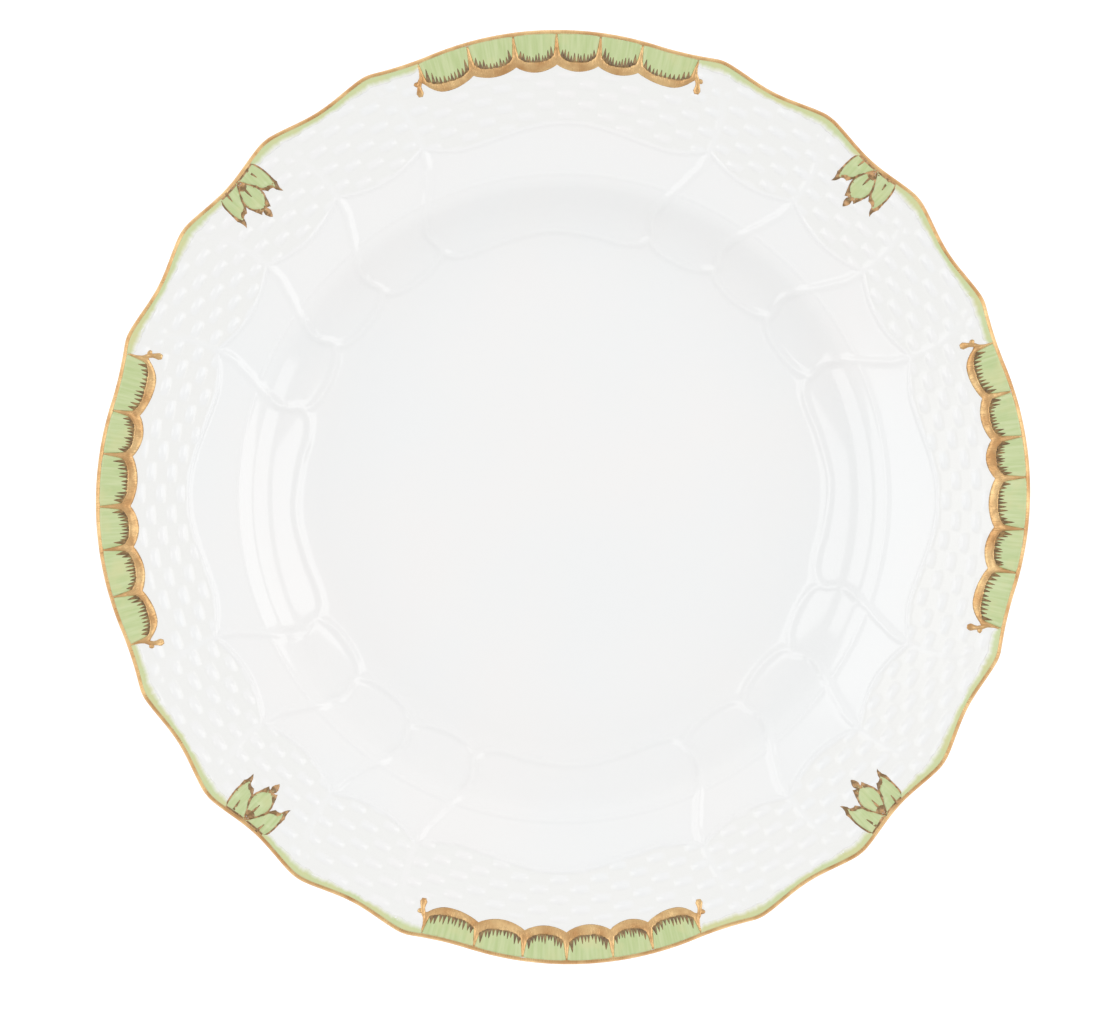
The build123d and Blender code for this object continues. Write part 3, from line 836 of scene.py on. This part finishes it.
def cell_border(first, last, drop):
    """Border of one scale from its first side round the bottom to its last side, open at the rim."""
    centre = (first + last) / 2
    half = (last - first) / 2
    bottom = SCALE_RADIUS - drop + random.uniform(-0.12, 0.12)
    corner = SCALE_CORNER - drop + random.uniform(-0.2, 0.2)
    across = np.linspace(-1, 1, 21)
    rise = (corner - bottom) * np.abs(across) ** SCALE_SQUARE
    arc = turned(bottom + rise, centre + (half - WEDGE_TURN) * across)
    sides = []
    for side in (-1, 1):
        rise = np.linspace(0, 1, 9)[1:]
        top = outline_radius(centre + side * half) - GOLD_LINE
        gap = WEDGE_TURN + (LINE_TURN - WEDGE_TURN) * rise ** 0.7
        sides.append(turned(corner + (top - corner) * rise, centre + side * (half - gap)))
    return np.vstack([sides[0][::-1], arc, sides[1]])


def turn_near(point, reference):
    """Turn of a plan point, within half a turn of a reference."""
    turn = np.degrees(np.arctan2(point[1], point[0]))
    return reference + (turn - reference + 180) % 360 - 180


def stroke_loops(first, last, drop):
    """Tapered brush strokes that fan from the bottom of one scale."""
    centre = (first + last) / 2
    half = (last - first) / 2 - WEDGE_TURN * 0.9
    loops = []
    for number in range(STROKES):
        across = ((number + 0.5) / STROKES * 2 - 1) * 0.99 + random.uniform(-0.025, 0.025)
        rise = (SCALE_CORNER - SCALE_RADIUS) * abs(across) ** SCALE_SQUARE
        start_radius = SCALE_RADIUS - drop + rise - 0.45
        length = random.uniform(1.7, 2.9) * (1 + 0.45 * abs(across) ** 3)
        lean = -across * random.uniform(0.02, 0.14) * length
        share = np.linspace(0, 1, 6)
        radius = start_radius + length * share
        turn = centre + half * across + np.degrees(lean * share ** 1.3 / radius)
        broad = random.uniform(0.8, 1.05) * (1 + 0.7 * abs(across) ** 4)
        width = broad * (1 - share) ** 0.85 + 0.12
        loops.append(ribbon(turned(radius, turn), width))
    return loops


def finial_loops(end, side):
    """Gold post at one end of a band, with its elongated knob and a bud beside it."""
    radius, swing, width = np.array(FINIAL).T
    path = smooth_path(turned(radius, end + side * swing), 3)
    stations = np.linspace(0, len(FINIAL) - 1, len(path))
    widths = np.interp(stations, range(len(FINIAL)), width)
    widths = widths * np.array([random.uniform(0.94, 1.06) for _ in path])
    return [ribbon(path, widths), blob(BUD_RADIUS, end + side, 0.75, 0.7)]


def painted_band(side, start, widths):
    """Scales, gilt festoon and combed strokes of one band."""
    lines = start + np.concatenate([[0], np.cumsum(widths)])
    scales = Layer()
    gilt = Layer()
    strokes = Layer()
    inner = []
    cells = []
    inset = BAND_INSET[side]
    end_radius = min(END_TOP, NOTCH_RADIUS - BAND_DROP - inset + END_LIFT)
    end_lift = end_radius - (NOTCH_RADIUS - BAND_DROP - inset)
    for number, (first, last) in enumerate(zip(lines, lines[1:])):
        drop = BAND_DROP * ((number - 2.5) / 2.5) ** 2 + inset
        border = cell_border(first, last, drop)
        cells.append(border)
        turn = np.linspace(turn_near(border[-1], first), turn_near(border[0], first), 14)[1:-1]
        outer = turned(outline_radius(turn) - LAYER_START, turn)
        scales.add(np.vstack([border, outer]), SCALE_THICK, SPACING, roll=0.5)
        share = np.linspace(0, 1, 14, endpoint=False)
        notches = [BAND_DROP * ((line - 3) / 3) ** 2 for line in (number, number + 1)]
        notch = NOTCH_RADIUS - inset - notches[0] - (notches[1] - notches[0]) * share
        depth = NOTCH_RADIUS - BULGE_RADIUS + random.uniform(-0.2, 0.25)
        festoon = notch - depth * np.sin(np.pi * share) ** 0.8
        if number == 0:
            festoon += end_lift * np.clip(1 - share / END_SHARE, 0, 1) ** 2
        if number == len(widths) - 1:
            festoon += end_lift * np.clip(1 - (1 - share) / END_SHARE, 0, 1) ** 2
        inner.append(turned(festoon, first + (last - first) * share))
        for loop in stroke_loops(first, last, drop):
            strokes.add(loop, STROKE_THICK, base=ON_SCALE, roll=0.25)
    inner.append(turned(end_radius, lines[-1:]))
    radius, swing = np.array(END_SIDE).T
    end_line = turned(radius, lines[-1] + swing)
    start_line = turned(radius[::-1], lines[0] - swing[::-1])
    body = inner + [end_line] + [cell[::-1] for cell in cells[::-1]] + [start_line]
    gilt.add(np.vstack(body), GILT_THICK, SPACING, roll=0.9)
    for end, way in ((lines[0], -1), (lines[-1], 1)):
        for loop in finial_loops(end, way):
            gilt.add(loop, GILT_THICK, 0.4, base=0.02, roll=0.5)
    scales.piece(f"painted_scales_{side}", green_paint, "green_enamel", [f"scale_enamel_{side}"])
    gilt.piece(f"gilt_lace_{side}", gold_paint, "gilding", [f"gilt_festoon_{side}"])
    strokes.piece(f"comb_brushwork_{side}", olive_paint, "olive_enamel", [f"comb_strokes_{side}"])


# Corners of a leaf as distance across the sprig and radius, each with the bulge of the side after it.
SIDE_LEAF = ((-0.5, 130.6, 0.0), (6.7, 130.8, 0.35), (8.0, 125.2, -0.05), (8.1, 121.8, -0.3),
             (7.55, 118.7, 0.3), (6.1, 121.0, -0.25), (4.4, 121.4, 0.25), (2.7, 124.7, 0.2))
MIDDLE_LEAF = ((0.0, 128.4, 0.5), (2.7, 125.4, 0.35), (3.2, 121.8, 0.05), (1.7, 117.9, -0.15),
               (0.7, 118.4, 0.1), (1.0, 117.2, 0.15), (0.0, 115.4, 0.15), (-1.0, 117.2, 0.1),
               (-0.7, 118.4, -0.15), (-1.7, 117.9, 0.05), (-3.2, 121.8, 0.35), (-2.7, 125.4, 0.5))
# Brown tips and teeth of the leaves: place across and out, and how deep the green stays away.
SIDE_TIPS = ((7.55, 118.7, 2.5), (8.1, 121.8, 0.5), (4.6, 121.6, 0.8))
MIDDLE_TIPS = ((0.0, 115.4, 2.6), (1.9, 118.6, 0.9), (-1.9, 118.6, 0.9))
# Veins of a sprig: where each starts across and out, how far it leans, and its length.
VEINS = ((-4.3, 129.7, -0.6, 3.2), (4.5, 129.7, 0.4, 3.0), (0.0, 126.4, 0.1, 2.8), (0.0, 129.5, 0.0, 1.8))
VEIN_WIDTHS = (0.7, 0.6, 0.2)
LEAF_LINE = 0.5  # width of the brown line round a leaf
TIP_REACH = 1.4  # the brown of a tip spreads this far
HEART_RADIUS = 127.3  # brown spot where the leaves meet


def leaf_loop(corners, middle, way):
    """Outline of a leaf as plan points, mirrored when way is -1."""
    points = []
    for (across, radius, bulge), following in zip(corners, corners[1:] + corners[:1]):
        share = np.linspace(0, 1, 7, endpoint=False)
        run = np.array([following[0] - across, following[1] - radius])
        side = np.array([-run[1], run[0]]) / np.hypot(*run)
        bow = bulge * 4 * share * (1 - share)
        wobble = np.array([random.uniform(-0.05, 0.05) for _ in share])
        place = np.array([across, radius]) + share[:, None] * run + side * (bow + wobble)[:, None]
        turn = middle + way * np.degrees(place[:, 0] / place[:, 1])
        points.append(turned(np.minimum(place[:, 1], outline_radius(turn) - GOLD_LINE + 0.08), turn))
    loop = np.vstack(points)
    return loop[::-1] if way < 0 else loop


def shrunk(loop, border, tips, reach):
    """A loop drawn in by a border, and by more near the given tips."""
    before = np.roll(loop, 2, axis=0)
    after = np.roll(loop, -2, axis=0)
    along = after - before
    along /= np.linalg.norm(along, axis=1)[:, None]
    inward = np.column_stack([-along[:, 1], along[:, 0]])
    area = (loop[:, 0] * np.roll(loop[:, 1], -1) - loop[:, 1] * np.roll(loop[:, 0], -1)).sum()
    if area < 0:
        inward = -inward
    moved = loop + inward * border
    heart = loop.mean(axis=0)
    for tip, depth in tips:
        near = np.exp(-(np.linalg.norm(loop - tip, axis=1) / reach) ** 2)
        pull = heart - tip
        moved = moved + near[:, None] * pull / np.linalg.norm(pull) * depth
    return moved


def sprig(side, middle):
    """Three green leaves with brown outlines, tips and veins."""
    outlines = Layer()
    greens = Layer()

    def place(across, radius):
        return turned(radius, middle + np.degrees(across / radius))

    leaves = [(SIDE_LEAF, 1, SIDE_TIPS),
              (SIDE_LEAF, -1, SIDE_TIPS),
              (MIDDLE_LEAF, 1, MIDDLE_TIPS)]
    for number, (corners, way, tips) in enumerate(leaves):
        level = LEAF_STEP * number
        outline = leaf_loop(corners, middle, way)
        outlines.add(outline, BROWN_THICK, 0.8, base=level, roll=0.3)
        depths = [(place(way * across, radius), depth) for across, radius, depth in tips]
        green = shrunk(outline, LEAF_LINE, depths, TIP_REACH)
        greens.add(green, LEAF_THICK, 0.6, base=level + 0.04, roll=0.5)
    for across, radius, lean, length in VEINS:
        start = place(across, radius)
        middle_point = place(across + lean / 2, radius - length / 2)
        path = [start, middle_point, place(across + lean, radius - length)]
        outlines.add(ribbon(path, VEIN_WIDTHS), BROWN_THICK, base=ON_LEAF, roll=0.2)
    outlines.add(blob(HEART_RADIUS, middle, 1.35, 1.05), 0.06, 0.5, base=ON_LEAF, roll=0.4)
    outlines.piece(f"leaf_brown_{side}", brown_paint, "brown_enamel", [f"leaf_outline_{side}"])
    greens.piece(f"leaf_green_{side}", green_paint, "green_enamel", [f"leaf_enamel_{side}"])


WASH_THICK = 0.035
WASH_SUNK = 0.08


def wash_strip(first, last):
    """Vertices, faces and fade of one soft strip inside the gold line."""
    count = int((last - first) * 3.2)
    turn = np.linspace(first, last, count)
    edge = outline_radius(turn)
    above_dip = np.clip((edge - DIP_RADIUS) / (CUSP_RADIUS - DIP_RADIUS), 0, 1)
    width = 1.35 + 1.25 * above_dip + 0.16 * np.sin(turn * 1.9) + 0.1 * np.sin(turn * 4.3)
    width = width * np.clip(np.minimum(turn - first, last - turn) / 0.4, 0.75, 1)
    share = np.linspace(0, 1, 7)
    radius = edge[:, None] - LAYER_START - (width[:, None] + 0.3) * share
    plan = turned(radius, turn[:, None])
    lift = WASH_THICK * (1 - share ** 2)[None, :] + 0.012 + 0 * radius
    top = on_face(plan, lift).reshape(-1, 3)
    under = on_face(plan, np.full(radius.shape, -WASH_SUNK)).reshape(-1, 3)
    size = len(top)
    index = np.arange(size).reshape(radius.shape)
    quads = np.stack([index[:-1, :-1], index[1:, :-1], index[1:, 1:], index[:-1, 1:]], axis=-1)
    skins = np.stack([quads, quads[..., ::-1] + size], axis=2).reshape(-1, 4)
    rim = np.array([*index[:, 0], *index[-1, 1:], *index[-2::-1, -1], *index[0, -2:0:-1]])
    after = np.roll(rim, -1)
    walls = np.stack([after, rim, rim + size, after + size], axis=1)
    return np.vstack([top, under]), np.vstack([skins, walls]), np.tile(share, 2 * count)


def edge_wash(side, before, after):
    """The strips of wash on both sides of one sprig."""
    points, faces, fade = wash_strip(*before)
    more_points, more_faces, more_fade = wash_strip(*after)
    faces = np.vstack([faces, more_faces + len(points)]).tolist()
    points = np.vstack([points, more_points])
    stands_for = [f"edge_wash_{side}"]
    piece = make_piece(f"soft_wash_{side}", points, faces, wash_paint, stands_for)
    set_attribute(piece, "fade", np.concatenate([fade, more_fade]))


GOLD_TURN_UNDER = 122  # how far round the edge the gold reaches, from straight up
GOLD_LIFT = 0.05
GOLD_SUNK = 0.08


def gold_rim_line():
    """Gold line that wraps the edge, a little uneven where the brush wandered."""
    turn = all_round(COLUMNS)
    edge = outline_radius(turn)
    wander = 0.10 * np.sin(turn * 0.35) + 0.07 * np.sin(turn * 1.27 + 1) + 0.05 * np.sin(turn * 3.1)
    top = on_face(turned(edge - EDGE_INSET, turn))[:, 2]
    bottom = under_height(edge - EDGE_INSET)
    middle = (top + bottom) / 2
    half = (top - bottom) / 2
    rings = []
    first = np.arcsin(np.clip(1 - (GOLD_LINE + wander) / EDGE_INSET, 0, 1))
    for lift, shares in ((GOLD_LIFT, np.linspace(0, 1, 12)), (-GOLD_SUNK, np.linspace(1, 0, 8))):
        for share in shares:
            angle = first + share * (np.radians(GOLD_TURN_UNDER) + wander - first)
            swell = 1 if lift < 0 else np.sin(np.pi * min(max(share, 0.12), 0.88)) ** 0.3
            reach = EDGE_INSET + lift * swell
            plan = turned(edge - EDGE_INSET + reach * np.sin(angle), turn)
            rings.append(at_height(plan, middle + (half + reach - EDGE_INSET) * np.cos(angle)))
    vertices, faces = tube(rings)
    make_piece("gold_edge_band", vertices, faces, gold_paint, ["gold_rim_line"])


glazed_plate()
bare_foot()
gold_rim_line()
for side, (start, widths) in BANDS.items():
    painted_band(side, start, widths)
for side, (middle, before, after) in SPRIGS.items():
    start = BANDS[before][0] + sum(BANDS[before][1])
    end = BANDS[after][0] + (360 if after == "east" else 0)
    sprig(side, middle)
    edge_wash(side, (start, middle - SPRIG_HALF_TURN + WASH_OVERLAP),
              (middle + SPRIG_HALF_TURN - WASH_OVERLAP, end))


# ---- stage, light and camera, in metres
FLOOR_REACH = 2.5
FLOOR_DROP = 0.0002  # just clear of the foot
# Soft lights: name, place, width, depth and watts.
LIGHTS = (
    ("left_box", (-0.74, 0.1, 0.99), 0.7, 1.0, 2.4),
    ("right_box", (0.85, 0.1, 0.92), 0.7, 1.0, 2.7),
    ("left_strip", (-1.1, 0.0, 0.28), 1.1, 0.11, 0.5),
    ("right_strip", (1.1, 0.0, 0.28), 1.1, 0.11, 0.5),
)
HORIZON_LIGHT = 1.04  # strength of the even studio light near the horizon
ZENITH_LIGHT = 0.705  # and overhead
NORTH_EXTRA = 0.04  # a little more from the far side than from the near side
LENS = 200.0  # focal length and sensor width, millimetres
SENSOR = 36.0
IMAGE_WIDTH = 0.31398  # width of the picture at the height of the rim
IMAGE_MIDDLE = (-0.00371, -0.00227)


def plain_material(name, colour, glow):
    """Matte stage material with a little light of its own, so that shadows stay pale."""
    paint = Paint(name)
    fine = paint.ramp(paint.noise(30.0), 0.3, 0.7, 0.98, 1.0)
    paint.shader.inputs["Emission Color"].default_value = colour
    paint.shader.inputs["Emission Strength"].default_value = glow
    shade = paint.mix(fine, linear(250, 250, 250), colour)
    return paint.finish(shade, 0.9)


def stage_floor():
    """Pale floor under the foot ring."""
    mesh = bpy.data.meshes.new("floor")
    corners = [(-1, -1), (1, -1), (1, 1), (-1, 1)]
    mesh.from_pydata([(FLOOR_REACH * x, FLOOR_REACH * y, 0) for x, y in corners], [], [(0, 1, 2, 3)])
    mesh.materials.append(plain_material("floor_white", linear(252, 252, 252), 0.26))
    floor = new_object("floor", mesh)
    floor.location.z = cad_low.z - FLOOR_DROP


def soft_box(name, place, size_x, size_y, power):
    """Large soft light that faces the plate."""
    light = bpy.data.lights.new(name, "AREA")
    light.shape = "RECTANGLE"
    light.size = size_x
    light.size_y = size_y
    light.energy = power
    lamp = new_object(name, light)
    lamp.location = place
    lamp.rotation_euler = (-lamp.location).to_track_quat("-Z", "Y").to_euler()


def photo_camera():
    """Camera straight above, framed on the rim as the plate is seen."""
    camera = bpy.data.cameras.new("camera")
    camera.lens = LENS
    camera.sensor_width = SENSOR
    camera.sensor_fit = "HORIZONTAL"
    holder = new_object("camera", camera)
    holder.location = (*IMAGE_MIDDLE, face_high.z + IMAGE_WIDTH * LENS / SENSOR)
    bpy.context.scene.camera = holder


def studio_world():
    """Even white studio light, stronger near the horizon and on the far side."""
    world = bpy.data.worlds.new("studio")
    world.use_nodes = True
    nodes = world.node_tree.nodes
    links = world.node_tree.links
    sky = nodes["Background"]
    place = nodes.new("ShaderNodeTexCoord")
    parts = nodes.new("ShaderNodeSeparateXYZ")
    by_height = nodes.new("ShaderNodeMapRange")
    by_height.inputs["To Min"].default_value = HORIZON_LIGHT
    by_height.inputs["To Max"].default_value = ZENITH_LIGHT
    by_side = nodes.new("ShaderNodeMath")
    by_side.operation = "MULTIPLY_ADD"
    by_side.inputs[1].default_value = NORTH_EXTRA
    links.new(place.outputs["Generated"], parts.inputs[0])
    links.new(parts.outputs[2], by_height.inputs["Value"])
    links.new(parts.outputs[1], by_side.inputs[0])
    links.new(by_height.outputs[0], by_side.inputs[2])
    links.new(by_side.outputs[0], sky.inputs["Strength"])
    sky.inputs["Color"].default_value = (1.0, 1.0, 1.0, 1.0)
    bpy.context.scene.world = world


studio_world()
bpy.context.scene.view_settings.view_transform = "Standard"
stage_floor()
for light in LIGHTS:
    soft_box(*light)
photo_camera()
